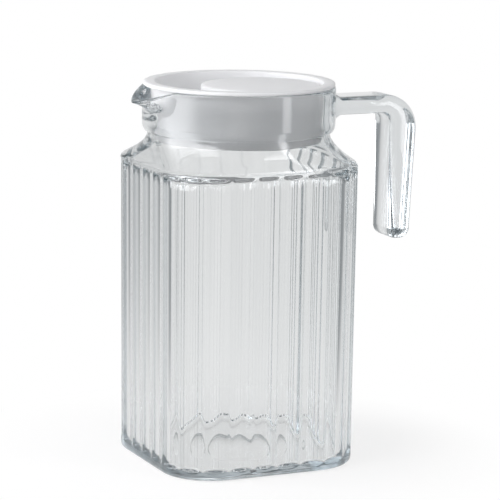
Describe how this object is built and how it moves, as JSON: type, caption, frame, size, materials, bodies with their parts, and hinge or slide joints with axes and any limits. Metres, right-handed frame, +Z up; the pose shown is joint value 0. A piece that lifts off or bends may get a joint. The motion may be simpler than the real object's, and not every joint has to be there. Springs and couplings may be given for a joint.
{
  "type": "glass pitcher with lid",
  "caption": "Square fluted clear glass jug with a round collar, a beaked pouring lip and an open hook handle, closed by a white push-in lid with a recessed round grip.",
  "frame": {"origin": "middle of the foot, on the surface that the jug stands on", "axes": "+Z up along the jug's axis, +X towards the handle, -X towards the pouring lip"},
  "size_m": [0.1423, 0.096, 0.1775],
  "materials": {
    "clear_glass": "clear pressed glass, fire polished",
    "white_plastic": "moulded white plastic, satin"
  },
  "bodies": {
    "jug": {"jug_body": "clear_glass", "jug_neck": "clear_glass", "jug_handle": "clear_glass"},
    "lid": {"lid": "white_plastic"}
  },
  "joints": [
    {"name": "lid_lift", "type": "slide", "parent": "jug", "child": "lid", "axis": [0, 0, 1], "range_m": [0, 0.06]}
  ]
}
